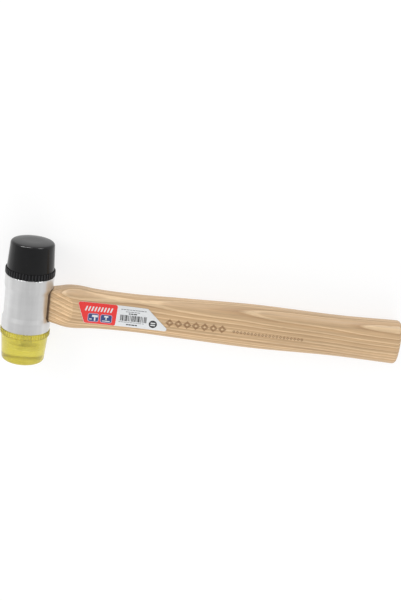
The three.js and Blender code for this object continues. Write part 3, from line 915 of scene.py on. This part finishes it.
def make_patches(name, outlines, lift, thickness, material, *replaced):
    """Thin printed sheets, each with its own outline in millimetres, laid on the handle's face."""
    edit = bmesh.new()
    for outline in outlines:
        edit.faces.new([edit.verts.new((x, y, 0)) for x, y in outline])
    xs = [x for outline in outlines for x, _ in outline]
    ys = [y for outline in outlines for _, y in outline]
    # cuts across the sheets let them follow the wood; the offset keeps the cuts off the corners
    offset = 0.37
    cuts = [((x, 0, 0), (1, 0, 0)) for x in np.arange(math.ceil(min(xs)) + offset, max(xs), 1.5)]
    cuts += [((0, y, 0), (0, 1, 0)) for y in np.arange(math.ceil(min(ys)) + offset, max(ys), 1.0)]
    for spot, direction in cuts:
        everything = edit.verts[:] + edit.edges[:] + edit.faces[:]
        bmesh.ops.bisect_plane(edit, geom=everything, plane_co=spot, plane_no=direction)
    bmesh.ops.recalc_face_normals(edit, faces=edit.faces)
    for sheet in edit.faces:
        if sheet.normal.z < 0:
            sheet.normal_flip()
    top = bmesh.ops.extrude_face_region(edit, geom=edit.faces[:])
    raised = {v for v in top["geom"] if isinstance(v, bmesh.types.BMVert)}
    for vert in edit.verts:
        x = vert.co.x * MM
        y = vert.co.y * MM
        level = lift + (thickness if vert in raised else 0)
        vert.co = HANDLE_FRAME @ Vector((x, y, surface_z(x, y) + level))
    bmesh.ops.recalc_face_normals(edit, faces=edit.faces)
    mesh = end_edit(edit, bpy.data.meshes.new(name))
    shade(mesh, 35)
    mesh.materials.append(material)
    return place(link(name, mesh), "head", "sticker", *replaced)


def make_ink(name, outlines, layer, material):
    """Printed shapes on the film. Each layer lies on the one before."""
    make_patches(name, outlines, LABEL_LIFT + layer * INK, INK, material)


def box_outline(x0, y0, x1, y1, radius=0.0):
    """A rectangle between two corners, rounded if it has a radius."""
    corners = ((x0, y0), (x1, y0), (x1, y1), (x0, y1))
    return round_corners(corners, radius) if radius else list(corners)


def disc_outline(x, y, radius, count=32):
    """A circle of short straight sides."""
    angles = [2 * math.pi * k / count for k in range(count)]
    return [(x + radius * math.cos(angle), y + radius * math.sin(angle)) for angle in angles]


def mallet_icon(x, y, size):
    """A plain mallet drawn with a head and a handle."""
    head = box_outline(x - 0.42 * size, y + 0.10 * size, x + 0.42 * size, y + 0.42 * size, 0.06 * size)
    grip = box_outline(x - 0.10 * size, y - 0.48 * size, x + 0.10 * size, y + 0.08 * size, 0.04 * size)
    return [head, grip]


def dashes(start, end, y, tall):
    """A broken rule that stands for a line of small print."""
    made = []
    x = start
    space = 0.35
    for k in range(40):
        wide = 1.3 + 0.9 * ((7 * k) % 5) / 4
        if x + wide > end:
            break
        made.append(box_outline(x, y - tall / 2, x + wide, y + tall / 2))
        x += wide + space
    return made


def bars():
    """A row of upright bars of mixed widths."""
    made = []
    x = BARS_START
    while x < BARS_END:
        k = len(made)
        wide = BAR_WIDTHS[k % len(BAR_WIDTHS)]
        made.append(box_outline(x, BARS_LOW, x + wide, BARS_HIGH))
        x += wide + 0.8 * BAR_WIDTHS[(3 * k + 1) % len(BAR_WIDTHS)]
    return made


def stroke(k):
    """One of a row of slanted strokes."""
    left = STROKE_START + STROKE_PITCH * k
    right = left + 1.05
    return round_corners(((left, STROKE_LOW), (right, STROKE_LOW), (right + STROKE_LEAN, STROKE_HIGH),
                          (left + STROKE_LEAN, STROKE_HIGH)), 0.25, 2)


def make_label():
    """The sticker: white film, then its printed shapes in layers."""
    make_patches("label_film", [round_corners(LABEL_CORNERS, 1.6)], LABEL_LIFT - FILM, FILM, INK_WHITE,
                 "handle_label")
    make_ink("label_red_panel", [round_corners(RED_CORNERS, 1.4)], 0, INK_RED)
    frames = [box_outline(x0 - TILE_BORDER, y0 - TILE_BORDER, x1 + TILE_BORDER, y1 + TILE_BORDER, 1.5)
              for x0, y0, x1, y1 in TILES]
    make_ink("label_tile_frames", frames, 1, INK_PALE)
    make_ink("label_strokes", [stroke(k) for k in range(STROKES)], 1, INK_WHITE)
    make_ink("label_tiles", [box_outline(*tile, 1.2) for tile in TILES], 2, INK_BLUE)
    icons = [shape for icon in ICONS for shape in mallet_icon(*icon)]
    icons += [box_outline(*line, 0.2) for line in ICON_LINES]
    make_ink("label_icons", icons, 3, INK_WHITE)
    make_ink("label_rules", [dash for rule in GREY_RULES for dash in dashes(*rule)], 0, INK_GREY)
    bold = [dash for rule in BLACK_RULES for dash in dashes(*rule)]
    make_ink("label_bars", bold + bars(), 0, INK_BLACK)
    make_ink("label_dot", [disc_outline(*DOT)], 0, INK_BLACK)
    make_ink("label_dot_mark", [box_outline(*mark, 0.3) for mark in DOT_MARKS], 1, INK_WHITE)


# ---- shot and assembly --------------------------------------------------------------------


def make_shot(node):
    """One ball of the charge, rounder than its stand-in."""
    low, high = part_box(node)
    centre = Matrix.Translation((low + high) / 2)
    edit = bmesh.new()
    bmesh.ops.create_icosphere(edit, subdivisions=3, radius=half_size("shot_01", 1), matrix=centre)
    mesh = end_edit(edit, bpy.data.meshes.new(node))
    mesh.shade_smooth()
    mesh.materials.append(SHOT_STEEL)
    place(link(node + "_ball", mesh), "shot_charge", "shot_steel", node)


make_barrel()
make_plug("upper_plug")
make_plug("lower_plug")
make_handle()
make_wedge()
make_pin()
make_label()
make_face("black", BLACK_SEAT, 1, BLACK_LENGTH, rim_height=4.6 * MM, end_radius=15.65 * MM, edge=2.6 * MM,
          tooth=0.8 * MM, material=RUBBER, slot="black_rubber", wetted=False)
make_face("yellow", YELLOW_SEAT, -1, YELLOW_LENGTH, rim_height=4.1 * MM, end_radius=15.35 * MM, edge=2.5 * MM,
          tooth=0.4 * MM, material=YELLOW, slot="yellow_plastic", wetted=True)
for tip, seat, facing in (("black", BLACK_SEAT, 1), ("yellow", YELLOW_SEAT, -1)):
    make_screw(tip, seat, facing)
    make_washer(tip)
for node in sorted(frame["nodes"]):
    if node.startswith("shot_"):
        make_shot(node)

sleeve = frame["nodes"]["handle_sleeve"]
sleeve.data.materials.clear()
sleeve.data.materials.append(INNER_METAL)

# ---- stage --------------------------------------------------------------------------------


def make_floor():
    """A floor far wider than the mallet, which glows a little so that it stays pale under soft light."""
    look = Look("pale_floor", Roughness=0.85, Emission_Color=(1, 1, 1, 1), Emission_Strength=0.76)
    tone = look.ramp(look.noise(look.place(), 3.0, 2.0), (0.3, 0.24), (0.7, 0.26))
    look.set(look.shader, {"Base_Color": tone})
    look.bump(look.noise(look.place(), 400.0, 2.0), 0.02, 0.0002)
    reach = 60.0
    corners = [(-reach, -reach, 0), (reach, -reach, 0), (reach, reach, 0), (-reach, reach, 0)]
    floor = add_mesh("floor", corners, [(0, 1, 2, 3)], look.material)


LIGHT_AIM = Vector((-0.03, 0, 0.02))


def make_light(name, place_at, wide, tall, power, diffuse=True, glossy=True):
    """A soft box aimed at the handle, kept out of shading or of reflections if told so."""
    lamp = bpy.data.lights.new(name, "AREA")
    lamp.shape = "RECTANGLE"
    lamp.size = wide
    lamp.size_y = tall
    lamp.energy = power
    holder = link(name, lamp)
    holder.location = place_at
    aim = LIGHT_AIM - Vector(place_at)
    holder.rotation_euler = aim.to_track_quat("-Z", "Y").to_euler()
    holder.visible_diffuse = diffuse
    holder.visible_glossy = glossy


def make_world():
    """A pale studio, dimmer straight overhead than round the sides."""
    world = bpy.data.worlds.new("studio")
    world.use_nodes = True
    tree = world.node_tree
    background = tree.nodes["Background"]
    spot = tree.nodes.new("ShaderNodeTexCoord")
    split = tree.nodes.new("ShaderNodeSeparateXYZ")
    ramp = tree.nodes.new("ShaderNodeValToRGB")
    tree.links.new(spot.outputs["Generated"], split.inputs[0])
    tree.links.new(split.outputs[2], ramp.inputs[0])
    for element, height, grey in zip(ramp.color_ramp.elements, (0.3, 0.9), (0.84, 0.70)):
        element.position = height
        element.color = (grey, grey, grey, 1)
    tree.links.new(ramp.outputs[0], background.inputs["Color"])
    background.inputs["Strength"].default_value = 1.0
    bpy.context.scene.world = world


def make_camera():
    """Over the labelled side, a little above the head's cross axis, in the handle's frame."""
    place_at = Vector((48.17, 290.69, 784.47)) * MM
    forward = Vector((0.09087, -0.32987, -0.93964)).normalized()
    up = Vector((-0.11126, 0.93428, -0.33874))
    right = forward.cross(up).normalized()
    up = right.cross(forward)
    turned = Matrix((right, up, -forward)).transposed().to_4x4()
    camera = bpy.data.cameras.new("camera")
    camera.sensor_width = 36.0
    camera.lens = 68.74
    camera.clip_start = 0.01
    camera.clip_end = 200.0
    holder = link("camera", camera)
    holder.matrix_world = HANDLE_FRAME @ Matrix.Translation(place_at) @ turned
    bpy.context.scene.camera = holder


make_floor()
make_world()
make_light("key", (-1.0, 0.5, 0.8), 0.7, 0.5, 4.0, glossy=False)
make_light("under", (0.3, -1.1, 0.7), 1.2, 0.8, 5.0, glossy=False)
make_light("edge_left", (-0.66, 1.28, 0.3), 0.95, 0.2, 15.0, diffuse=False)
make_light("edge_right", (0.6, 1.16, 0.3), 0.5, 0.16, 5.5, diffuse=False)
make_camera()
bpy.context.scene.view_settings.view_transform = "Standard"
